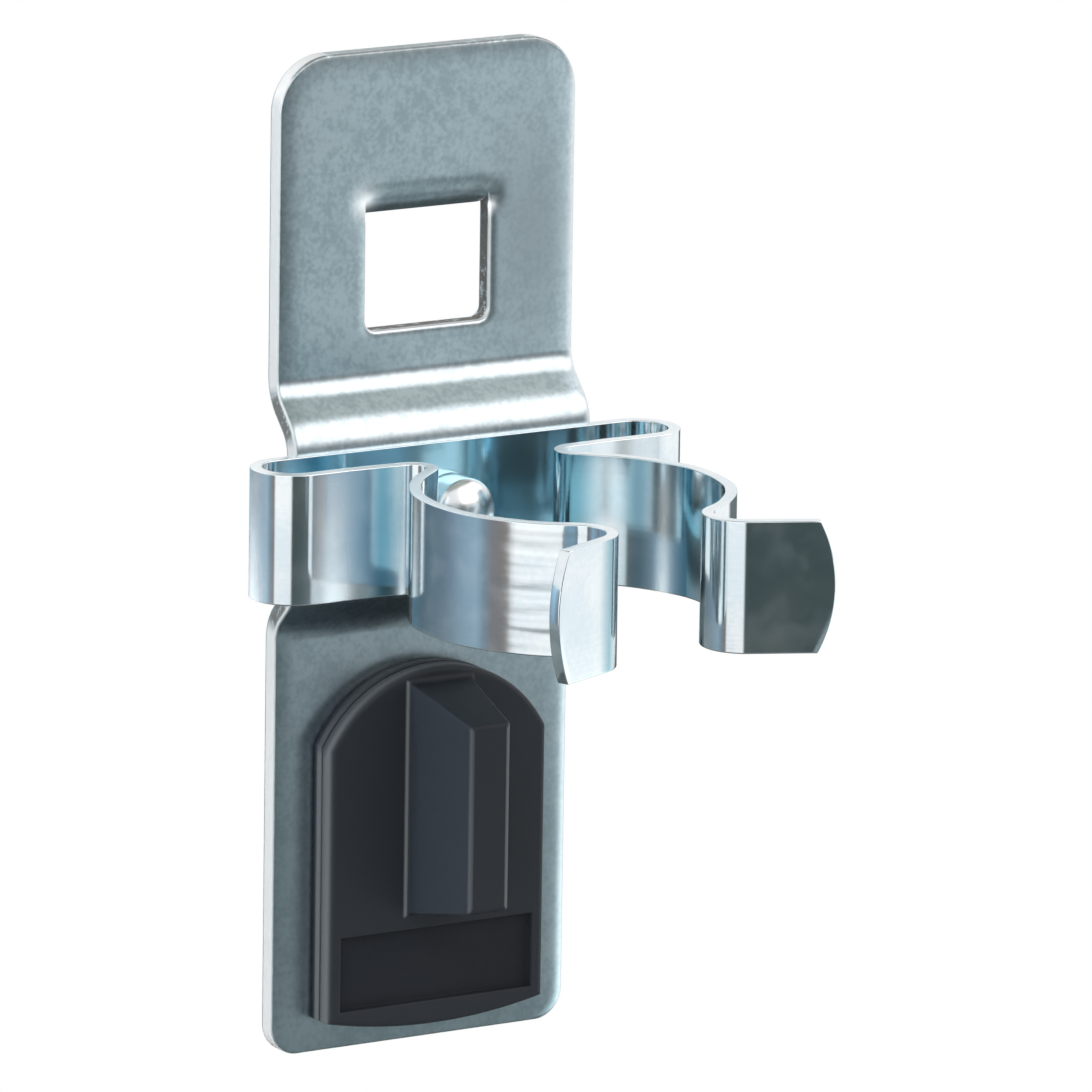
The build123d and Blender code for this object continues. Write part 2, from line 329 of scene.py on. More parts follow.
    # cut faces: the outline, duller where the sheet slopes, both holes and the tongue's three free sides
    lean = p["leanShare"] * smooth(np.abs(heading + np.pi / 2), *p["leanFade"])
    cuts = (0.15, 0.4, 0.7, 0.9)
    last = (x.shape[0] - 1, x.shape[1] - 1)
    for top, bottom, near, far, torn in ((0, last[0], 0, last[1], 0.0), (*windows[1], left, right, 1.0)):
        for run in ((top, slice(near, far + 1)), (bottom, slice(near, far + 1))):
            shell.wall(f[run], r[run], cuts, cut=np.maximum(torn, p["endTorn"]))
        for run in ((slice(top, bottom + 1), near), (slice(top, bottom + 1), far)):
            # side walls are pale where they run straight: partly the burnished band of the cut, partly
            # painted highlight
            dark = np.maximum(torn, lean[run[0]])
            shell.wall(f[run], r[run], cuts, cut=dark, pale=1 - dark)
    for run in ((b, root), (slice(a, b + 1), left), (slice(a, b + 1), right)):
        shell.wall(f[run], r[run], cuts, cut=1.0)
    for run in ((slice(None), 0), (slice(None), -1), (-1, slice(None))):
        shell.wall(tf[run], tr[run], cuts, cut=p["tongueTorn"])
    return shell


plate = plateSurface(plateSpec).finish("stampedPlate", "back_plate", "plate_zinc")


clipSpec = {
    "level": -17.2, "seat": 4.3, "thickness": 0.85, "width": 9.3, "edge": 0.08,
    "span": 16.575, "rise": 5.25, "legTurn": (-1.0, -3.5),
    "waistAt": 6.75, "waistRadius": 1.375, "flank": 2.2,
    "jawRadius": 10.925, "throatAt": 6.85, "throatRadius": 2.625,
    "lipAngle": 24.0, "lipLength": 5.9, "lipEnd": 10.0, "tipRoll": 0.1,
    "rows": (12, 64, 40, 44, 10, 120, 56, 10),  # of base, loop, leg, waist, flank, jaw, throat and lip
    "wave": (0.028, 6.3, 0.010, 2.9),  # height and length of the two ripples left by bending
    "waveEase": (1.5, 2.0), "rightPhase": 0.6, "leftPhase": 1.6, "baseEnds": (8.0, 13.0),
    # run, size and share of each painted dark reflection band and each painted light band along the strip
    "stain": ((32.6, 1.7, 0.95), (37.4, 1.3, 0.75), (41.8, 1.4, 0.85),
              (-27.6, 1.25, 0.9), (-61.0, 0.7, 0.75)),
    "haze": ((-23.7, 1.3, 0.5), (-29.15, 0.3, 0.5), (-17.6, 1.2, 0.3),
             (34.4, 0.7, 0.25), (39.7, 0.6, 0.3)),
    "hazeFall": 1.2,  # the painted light bands are stronger low down
}


def clipLine(c, phase):
    # half strip from the middle: base, loop, bowed leg, waist, flank, jaw, throat, lip
    # the loop's radius is the one that lets loop and leg end at the waist, one rise in front of the base
    into, over = np.radians(c["legTurn"])  # the leg's turn before and after it runs level
    share = np.tan((into - over) / 2)
    wide = c["span"] - c["waistAt"] - c["waistRadius"] * np.sin(over)
    rise = c["rise"] + c["waistRadius"] * (1 - np.cos(over))
    loop = (rise - share * wide) / (1 + np.cos(into) - share * (1 - np.sin(into)))
    leg = (wide - loop * (1 - np.sin(into))) / (np.sin(into) + np.sin(over))
    total = c["jawRadius"] + c["waistRadius"]
    start = np.arcsin(c["waistAt"] / np.hypot(total, c["flank"])) + np.arctan(c["flank"] / total)
    end = np.pi - np.arcsin(c["throatAt"] / (c["jawRadius"] + c["throatRadius"]))
    lip = np.radians(c["lipAngle"])
    shapes = [(c["span"] - loop, 0), (loop, np.pi - into), (abs(leg), into + over),
              (c["waistRadius"], start - np.pi - over), (c["flank"], 0), (c["jawRadius"], end - start),
              (c["throatRadius"], lip - end), (c["lipLength"] - c["tipRoll"], 0)]
    steps = [(size, turn, even(count)) for (size, turn), count in zip(shapes, c["rows"])]
    steps = [(0, 0, [0])] + steps  # the middle itself
    line, heading = bentPath((0, c["seat"] + c["thickness"] / 2), 0.0, steps)
    run = np.concatenate([[0], np.cumsum(np.hypot(*np.diff(line, axis=0).T))])
    # ripple across the sheet: two sines of the run, eased in after the loop and out before the throat
    ends = np.cumsum(c["rows"])
    legAt, throatAt = run[ends[1]], run[ends[5]]
    easeIn, easeOut = c["waveEase"]
    ease = smooth(run, legAt, legAt + easeIn) * (1 - smooth(run, throatAt - easeOut, throatAt))
    high, long, low, short = c["wave"]
    ripple = high * np.sin(2 * np.pi * run / long + phase)
    ripple = ripple + low * np.sin(2 * np.pi * run / short + 3 * phase)
    line = line + np.stack([-np.sin(heading), np.cos(heading)], 1) * (ripple * ease)[:, None]
    lipRows = c["rows"][-1]
    return line, heading, np.concatenate([np.zeros(len(line) - lipRows), even(lipRows)]), run


def stripSection(c):
    # closed loop of (offset, height): walls joined by quarter-round edges, with rows close to each edge
    ho, hz, r = c["thickness"] / 2, c["width"] / 2, c["edge"]
    turn = np.linspace(0, np.pi / 2, 6)
    low = np.stack([ho - r + r * np.sin(turn), r - hz - r * np.cos(turn)], 1)
    beside = r + np.array([0.02, 0.08, 0.3])
    wallZ = spread(np.concatenate([beside, 2 * hz - beside]), 0.6) - hz
    half = np.concatenate([[[0, -hz]], low, np.stack([np.full(len(wallZ), ho), wallZ], 1),
                           low[::-1] * np.array([1, -1]), [[0, hz]]])
    trim = np.concatenate([[1], np.cos(turn) ** 0.5, np.zeros(len(wallZ)), np.cos(turn[::-1]) ** 0.5, [1]])
    return np.concatenate([half, half[-2:0:-1] * np.array([-1, 1])]), np.concatenate([trim, trim[-2:0:-1]])


def bands(spots, run):  # sum of bell shapes along the strip, one for each spot of (run, size, share)
    total = np.zeros(len(run))
    for at, size, share in spots:
        total = total + share * np.exp(-((run - at) / size) ** 2)
    return total[:, None]


def clipSurface(c):
    shell = Shell("along", "across", "edge", "base", "stain", "haze")
    rightLine, rightHeading, rightLip, rightRun = clipLine(c, c["rightPhase"])
    leftLine, leftHeading, leftLip, leftRun = clipLine(c, c["leftPhase"])
    line = np.concatenate([leftLine[:0:-1] * np.array([-1, 1]), rightLine])
    heading = np.concatenate([-leftHeading[:0:-1], rightHeading])
    lipShare = np.concatenate([-leftLip[:0:-1], rightLip])
    run = np.concatenate([-leftRun[:0:-1], rightRun])
    section, trim = stripSection(c)
    # three more rows past each tip, drawn in along a quarter circle
    turn = np.radians([30, 60, 90])
    still = np.zeros(len(line))
    inset = np.concatenate([(1 - np.cos(turn))[::-1], still, 1 - np.cos(turn)]) * c["tipRoll"]
    ahead = np.concatenate([-np.sin(turn)[::-1], still, np.sin(turn)]) * c["tipRoll"]
    pad = lambda a: np.concatenate([np.repeat(a[:1], len(turn), 0), a, np.repeat(a[-1:], len(turn), 0)])
    line, heading, lipShare, run = pad(line), pad(heading), pad(lipShare), pad(run)
    along = np.stack([np.cos(heading), np.sin(heading)], 1)
    normal = np.stack([-np.sin(heading), np.cos(heading)], 1)
    offset = section[None, :, 0] * (1 - inset / (c["thickness"] / 2))[:, None]
    z = section[None, :, 1] * (1 - inset / (c["width"] / 2))[:, None]
    # each tip is cut to a wide arc, so a point slides back by the arc's fall at its height
    fall = c["lipEnd"] - np.sqrt(c["lipEnd"] ** 2 - z ** 2)
    slide = ahead[:, None] - lipShare[:, None] * fall
    x = line[:, :1] + normal[:, :1] * offset + along[:, :1] * slide
    v = line[:, 1:] + normal[:, 1:] * offset + along[:, 1:] * slide
    base = 1 - smooth(np.abs(run), *c["baseEnds"])[:, None]
    haze = bands(c["haze"], run) * (1 - c["hazeFall"] * z / c["width"])
    table = np.stack([x, -v, z + c["level"]], -1)
    index = shell.add(table, along=run[:, None], across=z, edge=trim[None], base=base,
                      stain=bands(c["stain"], run), haze=haze)
    shell.skin(index, wrap=True)
    count, middle = len(section), len(section) // 2
    j = np.arange(1, middle - 1)
    for tip in (index[0], index[-1]):  # strips across the thickness close each tip
        shell.faces += np.stack([tip[j], tip[j + 1], tip[count - j - 1], tip[count - j]], -1).tolist()
        shell.faces += [tip[[0, 1, -1]].tolist(), tip[[middle - 1, middle, middle + 1]].tolist()]
    return shell


clip = clipSurface(clipSpec).finish("springStrip", "spring_clip", "clip_zinc")


rivetSpec = {
    "level": -17.2, "seat": 5.15, "headRadius": 2.35, "headSide": 2.2, "headHeight": 3.2, "shoulder": 0.35,
    "domeInset": 0.3, "neckRows": (0.9, 0.1), "footIn": 0.04,
    "shank": 1.5, "bridgeRear": 2.8, "tailRadius": 2.6, "tailHeight": 1.3, "tailRoll": 0.4, "turns": 96,
}


def rivetSurface(r):
    # half section: dome of one radius, a curve into the straight side, shank, upset tail with a rolled edge
    shell = Shell()
    rise = r["headHeight"] - r["headSide"]
    ball = (r["headRadius"] ** 2 + rise ** 2) / (2 * rise)
    swing = np.linspace(0, np.arcsin((r["headRadius"] - r["domeInset"]) / ball), 22)
    top = r["seat"] + r["headHeight"]
    dome = np.stack([ball * np.sin(swing), top - ball * (1 - np.cos(swing))], 1)
    sideTop = np.array([r["headRadius"], r["seat"] + r["headSide"] - r["shoulder"]])
    knee = np.array([r["headRadius"], dome[-1, 1] - np.tan(swing[-1]) * (r["headRadius"] - dome[-1, 0])])
    t = even(9)[:, None]
    bow = (1 - t) ** 2 * dome[-1] + 2 * t * (1 - t) * knee + t ** 2 * sideTop
    roll = np.linspace(0, np.pi / 2, 8)
    tailEnd = r["bridgeRear"] - r["tailHeight"]
    tail = np.stack([r["tailRadius"] - r["tailRoll"] * (1 - np.cos(roll)),
                     tailEnd + r["tailRoll"] * (1 - np.sin(roll))], 1)
    head, seat = r["headRadius"], r["seat"]
    neck = [[head, seat + row] for row in r["neckRows"]] + [[head - r["footIn"], seat]]
    neck += [[r["shank"], seat], [r["shank"], r["bridgeRear"]], [r["tailRadius"], r["bridgeRear"]]]
    profile = np.concatenate([dome, bow, neck, tail, [[r["tailRadius"] / 2, tailEnd], [0, tailEnd]]])
    angle = np.arange(r["turns"]) * 2 * np.pi / r["turns"]
    radius = profile[:, :1]
    forward = np.broadcast_to(profile[:, 1:], (len(profile), r["turns"]))
    table = np.stack([radius * np.cos(angle), -forward, r["level"] + radius * np.sin(angle)], -1)
    shell.skin(shell.add(table), wrap=True)
    return shell


rivet = rivetSurface(rivetSpec).finish("clipRivet", "clip_rivet", "rivet_steel")


plugSpec = {
    "seat": 1.5, "thickness": 2.5, "half": 8.8, "middle": -42.0,
    "top": -29.1155, "shoulder": -34.4155, "foot": -54.4, "bottom": -55.4, "bowFrom": 0.2,
    "edge": (0.42, 0.42), "grooveAt": 1.15, "grooveDeep": 0.14, "grooveWide": 0.2, "grooveLip": 0.04,
    "recessHalf": 7.8, "recessTop": -48.2, "recessBottom": -53.55, "recessDepth": 0.5, "recessEdge": 0.07,
    # painted highlight: along the face's edges and on the side wall, less in the groove
    "faceWear": 0.7, "faceReach": 0.5, "wallWear": (0.68, 0.52), "grooveWear": 0.3,
    "ribTop": -30.1155, "ribBottom": -47.0, "ribHalf": 2.5, "ribHeight": 7.2, "ribEdge": 0.3,
    "ribFoot": 0.35, "crestTop": -31.8155, "crestBottom": -45.5, "crestHalf": 1.62, "ribCorner": (0.14, 0.1),
    "lock": -38.0, "pegHalf": 4.7, "catchHalf": 5.35, "slotHalf": 1.6, "slotFloor": 0.6,
    "panel": 2.1, "pegTip": 6.3, "tipInset": 1.4, "pegEdge": 0.15,
}


def flangeSurface(p, shell):
    # front face as depth over a table of columns and rows; rows narrow along the arch, the lowest bow down
    radius = (p["half"] ** 2 + (p["top"] - p["shoulder"]) ** 2) / (2 * (p["top"] - p["shoulder"]))
    step = np.array([-0.14, -0.07, -0.03, 0, 0.03, 0.07, 0.14])
    side = spread(np.concatenate([[0], p["half"] - soft[:8], p["recessHalf"] + step]), 0.7)
    across = np.concatenate([-side[:0:-1], side])
    swing = np.linspace(0.004, np.arcsin(p["half"] / radius), 48)  # from just beside the crown
    low = np.concatenate([[p["shoulder"]], p["foot"] + soft[:8],
                          p["recessTop"] + step, p["recessBottom"] + step])
    straight = spread(low, 0.7)[::-1]
    z = np.concatenate([p["top"] - radius * (1 - np.cos(swing)), straight[1:]])
    halfWidth = np.concatenate([radius * np.sin(swing), np.full(len(straight) - 1, p["half"])])
    x = across[None, :] * (halfWidth / p["half"])[:, None]
    bow = (p["foot"] - p["bottom"]) * (1 - (x / p["half"]) ** 2)
    lowest = p["recessBottom"] - p["bowFrom"]
    zz = z[:, None] - bow * np.clip((lowest - z) / (lowest - p["foot"]), 0, 1)[:, None]
    archGap = radius - np.hypot(x, zz - (p["top"] - radius))
    sideGap = p["half"] - np.abs(x)
    gap = np.minimum(sideGap, np.where(zz > p["shoulder"], archGap, zz - (p["foot"] - bow)))
    gap[:, [0, -1]] = 0
    gap[-1] = 0
    gap = np.maximum(gap, 0)
    inHeight = np.minimum(p["recessTop"] - zz, zz - p["recessBottom"])
    inRecess = np.minimum(p["recessHalf"] - np.abs(x), inHeight)
    # the recess floor, later darkened as painted shade
    fall = smooth(inRecess, -p["recessEdge"], p["recessEdge"])
    depth = p["thickness"] - rollOff(gap, *p["edge"]) - p["recessDepth"] * fall
    # painted highlight fading in towards the face's edges
    wear = p["faceWear"] - np.clip(gap / p["faceReach"], 0, p["faceWear"])
    f = shell.add(np.stack([x, -(p["seat"] + depth), zz], -1), wear=wear, floor=fall)
    r = shell.add(np.stack([x, np.full(x.shape, -p["seat"]), zz], -1))
    shell.skin(f)
    shell.skin(r)
    # side wall with a shallow parting groove: rows by height over the plate, drawn in towards the middle
    high, wide = p["thickness"] - p["edge"][1], p["grooveWide"] / 2
    beside = wide + p["grooveLip"]
    levels = p["grooveAt"] + np.array([0.5, beside, wide, -wide, -beside, -0.6])
    inset = np.array([0, 0, 1, 1, 0, 0]) * p["grooveDeep"]
    for run in ((0, slice(None)), (-1, slice(None)), (slice(None), 0), (slice(None), -1)):
        a, b = shell.points[f[run]], shell.points[r[run]]
        rows = a[None] + (b - a)[None] * (1 - levels / high)[:, None, None]
        outward = rows - np.array([0, 0, p["middle"]])
        outward[..., 1] = 0
        rows = rows - outward / np.linalg.norm(outward, axis=-1, keepdims=True) * inset[:, None, None]
        # painted highlight on the side wall, less in the groove
        chalky = np.where(rows[..., 2] < p["shoulder"], *p["wallWear"])
        chalky = chalky - (inset > 0)[:, None] * p["grooveWear"]
        # the groove is marked as floor: painted shade there
        middle = shell.add(rows, floor=(inset > 0)[:, None], wear=chalky)
        shell.skin(np.concatenate([f[run][None], middle, r[run][None]]))


def softRectangle(halfX, low, high, radius, perCorner, perSide):
    # rows of rounded rectangles: each row has its own half width, bottom, top and corner radius
    turn = np.linspace(0, np.pi / 2, perCorner)
    corners = []
    for k, (sx, sz) in enumerate(((1, 1), (-1, 1), (-1, -1), (1, -1))):
        angle = turn + k * np.pi / 2
        cx = sx * (halfX - radius)[:, None] + radius[:, None] * np.cos(angle)
        cz = np.where(sz > 0, high - radius, low + radius)[:, None] + radius[:, None] * np.sin(angle)
        corners.append(np.stack([cx, cz], -1))
    inner = np.linspace(0, 1, perSide - 4, endpoint=False)[1:]
    fill = np.concatenate([[0.012, 0.04], inner, [0.96, 0.988]])
    runs = []
    for k in range(4):
        a, b = corners[k][:, -1:], corners[(k + 1) % 4][:, :1]
        runs += [corners[k], a + (b - a) * fill[None, :, None]]
    return np.concatenate(runs, 1)


def ribSurface(p, shell):
    # tapered block: small fillet at the foot, straight draft, rolled crest edge, flat crest
    turn = np.linspace(0, np.pi / 2, 7)
    foot, edge, tall = p["ribFoot"], p["ribEdge"], p["ribHeight"]
    wallMarks = np.array([foot + 0.06, foot + 0.2, tall - edge - 0.1])
    wallH = np.append(spread(wallMarks, 0.7), tall - edge)
    flare = np.concatenate([foot * (1 - np.sin(turn)), np.zeros(len(wallH)),
                            -edge * (1 - np.cos(turn[1:]))])
    height = np.concatenate([foot * (1 - np.cos(turn)), wallH, tall - edge * (1 - np.sin(turn[1:]))])
    share = height / tall
    halfX = p["ribHalf"] + (p["crestHalf"] - p["ribHalf"]) * share + flare
    low = p["ribBottom"] + (p["crestBottom"] - p["ribBottom"]) * share - flare
    high = p["ribTop"] + (p["crestTop"] - p["ribTop"]) * share + flare
    radius = p["ribCorner"][0] + p["ribCorner"][1] * share
    shrink = np.array([0.12, 0.5, 1.1])  # rows over the flat crest
    halfX = np.append(halfX, halfX[-1] - shrink)
    low, high = np.append(low, low[-1] + shrink), np.append(high, high[-1] - shrink)
    radius, height = np.append(radius, [0.16, 0.08, 0.02]), np.append(height, np.full(3, tall))
    loop = softRectangle(halfX, low, high, radius, 6, 10)
    rows, count = loop.shape[:2]
    y = np.broadcast_to(-(p["seat"] + p["thickness"] + height)[:, None], (rows, count))
    # painted highlight lines: the foot along the left side, the crest's two long edges, a little on the
    # other edges
    still = np.zeros(len(wallH) - 1)
    footLine = np.concatenate([[0.3, 0.7, 0.9, 0.7, 0.3, 0.1, 0], still, np.zeros(10)])[:, None]
    crestLine = np.concatenate([np.zeros(7), still, [0.3, 0.6, 0.9, 1, 1, 1, 0.9], [0.2, 0, 0]])[:, None]
    long = np.clip((np.abs(loop[..., 0]) - 0.9 * halfX[:, None]) / (0.1 * halfX[:, None]), 0, 1)
    isLeft = loop[..., 0] < 0
    footWear = np.where(isLeft, footLine, footLine * 0.3) * long
    crestWear = crestLine * (0.25 + np.where(isLeft, 0.35, 0.75) * long)
    wear = np.minimum(footWear + crestWear, 1)
    index = shell.add(np.stack([loop[..., 0], y, loop[..., 1]], -1), wear=wear)
    shell.skin(index, wrap=True)
    shell.faces.append(index[-1].tolist())


def pegSurface(p, shell):
    # plan of the split peg with soft corners, carried through the hole's height and drawn in at both ends
    tip = p["catchHalf"] - p["tipInset"]
    plan = np.array([[p["pegHalf"], -p["seat"]], [p["pegHalf"], p["panel"]], [p["catchHalf"], p["panel"]],
                     [tip, p["pegTip"]], [p["slotHalf"], p["pegTip"]], [p["slotHalf"], p["slotFloor"]]])
    whole = np.concatenate([plan, (plan * np.array([-1, 1]))[::-1]])
    toward = lambda a, b: (b - a) / np.linalg.norm(b - a, axis=1, keepdims=True)
    a = whole + toward(whole, np.roll(whole, 1, 0)) * p["pegEdge"]
    b = whole + toward(whole, np.roll(whole, -1, 0)) * p["pegEdge"]
    t = np.linspace(0, 1, 6)[None, :, None]
    corner = (1 - t) ** 2 * a[:, None] + 2 * t * (1 - t) * whole[:, None] + t ** 2 * b[:, None]
    rounded = corner.reshape(-1, 2)
    way = toward(np.roll(rounded, 1, 0), np.roll(rounded, -1, 0))
    inward = np.stack([-way[:, 1], way[:, 0]], 1)
    turn = np.linspace(0, np.pi / 2, 5)
    inset = p["pegEdge"] * (1 - np.sin(turn))
    level = p["pegHalf"] - p["pegEdge"] * (1 - np.cos(turn))
    flat = rounded[None] + inward[None] * np.concatenate([inset, inset[::-1]])[:, None, None]
    z = np.broadcast_to((p["lock"] + np.concatenate([-level, level[::-1]]))[:, None], flat.shape[:2])
    index = shell.add(np.stack([flat[..., 0], flat[..., 1], z], -1))
    shell.skin(index, wrap=True)
    shell.faces += [index[0].tolist(), index[-1].tolist()]


def plugSurface(p):
    shell = Shell("wear", "floor")
    flangeSurface(p, shell)
    ribSurface(p, shell)
    pegSurface(p, shell)
    return shell


plug = plugSurface(plugSpec).finish("lockPlug", "lock_plug", "plug_plastic")


class Value:  # one shader socket that can be written in sums
    def __init__(self, tree, socket):
        self.tree, self.socket = tree, socket

    def join(self, operation, other, turned=False):
        maths = self.tree.nodes.new("ShaderNodeMath")
        maths.operation = operation
        for inlet, value in zip(maths.inputs, (other, self) if turned else (self, other)):
            feed(self.tree, inlet, value)
        return Value(self.tree, maths.outputs[0])

    def __add__(self, other):
        return self.join("ADD", other)

    def __radd__(self, other):
        return self.join("ADD", other)

    def __sub__(self, other):
        return self.join("SUBTRACT", other)

    def __rsub__(self, other):
        return self.join("SUBTRACT", other, True)

    def __mul__(self, other):
        return self.join("MULTIPLY", other)


def feed(tree, inlet, value):
    if isinstance(value, Value):
        tree.links.new(value.socket, inlet)
    elif inlet.type == "RGBA":
        inlet.default_value = (*value, 1)
    else:
        inlet.default_value = value


class Finish:  # one material and the nodes in it
    def __init__(self, name):
        self.material = bpy.data.materials.new(name)
        self.material.use_nodes = True
        self.tree = self.material.node_tree
        self.tree.nodes.clear()

    def node(self, kind, settings, sockets, out=0):
        made = self.tree.nodes.new(kind)
        for key, value in settings.items():
            setattr(made, key, value)
        for key, value in sockets.items():
            feed(self.tree, made.inputs[key], value)
        return Value(self.tree, made.outputs[out])

    def place(self):
        return self.node("ShaderNodeTexCoord", {}, {}, "Object")

    def mark(self, label):
        return self.node("ShaderNodeAttribute", {"attribute_name": label}, {}, "Fac")

    def grain(self, where, scale, detail=2.0, roughness=0.5):
        sockets = {"Vector": where, "Scale": scale, "Detail": detail, "Roughness": roughness}
        return self.node("ShaderNodeTexNoise", {}, sockets)

    def blend(self, share, first, second):
        return self.node("ShaderNodeMix", {"data_type": "RGBA"}, {0: share, 6: first, 7: second}, 2)

    def ease(self, value, low, high):
        sockets = {"Value": value, "From Min": low, "From Max": high}
        return self.node("ShaderNodeMapRange", {"interpolation_type": "SMOOTHSTEP"}, sockets)

    def surface(self, skin):
        end = self.tree.nodes.new("ShaderNodeOutputMaterial")
        self.tree.links.new(skin.socket, end.inputs["Surface"])

    def dress(self, piece, bump, strength, distance, sockets):
        relief = {"Height": bump, "Strength": strength, "Distance": distance}
        normal = self.node("ShaderNodeBump", {}, relief)
        self.surface(self.node("ShaderNodeBsdfPrincipled", {}, {**sockets, "Normal": normal}))
        piece.data.materials.clear()
        piece.data.materials.append(self.material)
        print("finish", self.material.name)


plateLook = {
    "pale": (0.60, 0.72, 0.765), "deep": (0.455, 0.57, 0.615), "torn": (0.15, 0.14, 0.13),
    "dim": (0.40, 0.47, 0.51), "dimShare": 0.7, "burnished": (0.58, 0.595, 0.60),
    "bright": (0.95, 0.97, 0.98), "rough": 0.278, "bump": (0.07, 0.00002),  # strength, reach in metres
}
zinc = Finish("satinZinc")
where = zinc.place()
speck, cloud, fleck = zinc.grain(where, 2800, 1.0), zinc.grain(where, 120), zinc.grain(where, 1100, 1.0)
tear = zinc.grain(where, 1500, 3.0, 0.7)
cut, rim, fan, dim = zinc.mark("cut"), zinc.mark("pale"), zinc.mark("fan"), zinc.mark("dim")
tone = zinc.ease(speck * 0.5 + cloud * 0.25 + fleck * 0.4, 0.42, 0.70)
colour = zinc.blend(tone, plateLook["deep"], plateLook["pale"])
# painted shade: broad darker patches right of the window and on the lower plate
colour = zinc.blend(dim * plateLook["dimShare"], colour, plateLook["dim"])
# pale: partly the burnished band of cut edges, partly painted highlight along edges and holes
colour = zinc.blend(rim, colour, plateLook["burnished"])
# painted highlight: bright, less metallic spots at the window's corners and a line at the right edge
colour = zinc.blend(fan, colour, plateLook["bright"])
colour = zinc.blend(cut * zinc.ease(tear, 0.72, 0.5), colour, plateLook["torn"])
zinc.dress(plate, speck * 0.5 + fleck * 0.6 + tear * cut * 3.0, *plateLook["bump"],
           {"Base Color": colour, "Metallic": 1.0 - rim * 0.5 - cut * 0.3 - fan * 0.6,
            "Roughness": plateLook["rough"] + speck * 0.02 + cloud * 0.01 + cut * 0.25})

clipLook = {
    "pale": (0.88, 0.93, 0.95), "deep": (0.74, 0.84, 0.89), "base": (0.30, 0.64, 0.78),
    "stain": (0.16, 0.40, 0.50), "rough": 0.06, "bump": (0.13, 0.00004),
    "creaseFrom": (-49.6, -51.0), "creaseTo": (-56.5, -55.0),  # runs before the left throat
}
strip = Finish("brightZinc")
where = strip.place()
run, height, rim = strip.mark("along"), strip.mark("across"), strip.mark("edge")
lay = strip.node("ShaderNodeCombineXYZ", {}, {"X": run * 0.06, "Y": height * 2.4, "Z": 0.0})
crease = strip.node("ShaderNodeCombineXYZ", {}, {"X": run * 0.08, "Y": height * 0.9, "Z": 3.0})
rolled, fold = strip.grain(lay, 1.6, 3.0), strip.grain(crease, 1.0, 1.0)
cloud, speck = strip.grain(where, 160), strip.grain(where, 2200)
colour = strip.blend(strip.ease(cloud + speck * 0.3, 0.45, 0.8), clipLook["deep"], clipLook["pale"])
base = strip.mark("base")
colour = strip.blend(base * (1 - rim) * 0.8, colour, clipLook["base"])
# painted reflection: dark blue bands across the strip
colour = strip.blend(strip.mark("stain") * (1 - rim), colour, clipLook["stain"])
# a faint dust speckle and the painted light bands: both lower the metallic, so the lamps light the strip
# there
dust = strip.ease(strip.grain(where, 420, 3.0), 0.45, 0.75) * 0.03 + strip.mark("haze")
wrinkled = strip.ease(run, *clipLook["creaseFrom"]) * strip.ease(run, *clipLook["creaseTo"])
strip.dress(clip, rolled * 0.28 + fold * wrinkled * 7.0 + speck * 0.15, *clipLook["bump"],
            {"Base Color": colour, "Metallic": 1.0 - base * 0.05 - dust,
             "Roughness": clipLook["rough"] + rolled * 0.05 + cloud * 0.04 + rim * 0.16})

rivetLook = {"pale": (0.90, 0.92, 0.93), "deep": (0.78, 0.82, 0.84), "rough": 0.2, "bump": (0.05, 0.00003)}
steel = Finish("rivetSteel")
where = steel.place()
speck, cloud = steel.grain(where, 1800), steel.grain(where, 420)
steel.dress(rivet, speck + cloud, *rivetLook["bump"],
            {"Base Color": steel.blend(steel.ease(cloud, 0.35, 0.7), rivetLook["deep"], rivetLook["pale"]),
             "Metallic": 1.0, "Roughness": rivetLook["rough"] + cloud * 0.06})

plugLook = {
    # edge: the colour of the painted highlights; floor: darker, painted shade in the recess and the groove
    "face": (0.0145, 0.0185, 0.0245), "edge": (0.12, 0.13, 0.135), "floor": (0.008, 0.011, 0.0155),
    "rough": 0.42, "shine": 0.28, "bump": (0.2, 0.00003),
}
plastic = Finish("blackPlastic")
where = plastic.place()
speck, cloud = plastic.grain(where, 1500, 3.0), plastic.grain(where, 90)
worn, sunk = plastic.mark("wear"), plastic.mark("floor")
# painted shade: the recess floor and the groove darker than the face
colour = plastic.blend(sunk, plugLook["face"], plugLook["floor"])
# painted highlight on the face's edges, the side wall and the rib's lines
colour = plastic.blend(plastic.ease(worn, 0.3, 1.0) * 0.7, colour, plugLook["edge"])
plastic.dress(plug, speck + cloud * 0.4, *plugLook["bump"],
              {"Base Color": colour, "Specular IOR Level": plugLook["shine"],
               "Roughness": plugLook["rough"] + speck * 0.1 + cloud * 0.08 + sunk * 0.3})


stageSpec = {
    "floorLevel": -0.36, "floorHalf": 4.0, "floorColour": (0.92, 0.92, 0.92),
    "cardReach": 1.15, "horizonReach": 1.12, "backReach": 1.10, "shadeReach": 0.34, "cardRows": 13,
    "lampAim": (0, -0.01, -0.02), "sky": 0.95,
}


def stageMesh(name, points, faces):
    mesh = bpy.data.meshes.new(name)
    mesh.from_pydata(points.tolist(), [], faces)
    piece = bpy.data.objects.new(name, mesh)
    bpy.context.scene.collection.objects.link(piece)
    piece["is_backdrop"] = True
    return piece


def makeFloor(s):
    # camera, mirror and clear rays see plain white; other rays see the lit colour
    h, level = s["floorHalf"], s["floorLevel"]
    square = np.array([(-h, -h, level), (h, -h, level), (h, h, level), (-h, h, level)])
    floor = stageMesh("floor", square, [(0, 1, 2, 3)])
    paint = Finish("floorWhite")
    seen = paint.node("ShaderNodeLightPath", {}, {}, "Is Camera Ray")
    for ray in ("Is Glossy Ray", "Is Transmission Ray"):
        seen = seen.join("MAXIMUM", paint.node("ShaderNodeLightPath", {}, {}, ray))
    lit = paint.node("ShaderNodeBsdfDiffuse", {}, {"Color": s["floorColour"]})
    glow = paint.node("ShaderNodeEmission", {}, {"Color": (1.0, 1.0, 1.0), "Strength": 1.0})
    paint.surface(paint.node("ShaderNodeMixShader", {}, {0: seen, 1: lit, 2: glow}))
    floor.data.materials.append(paint.material)


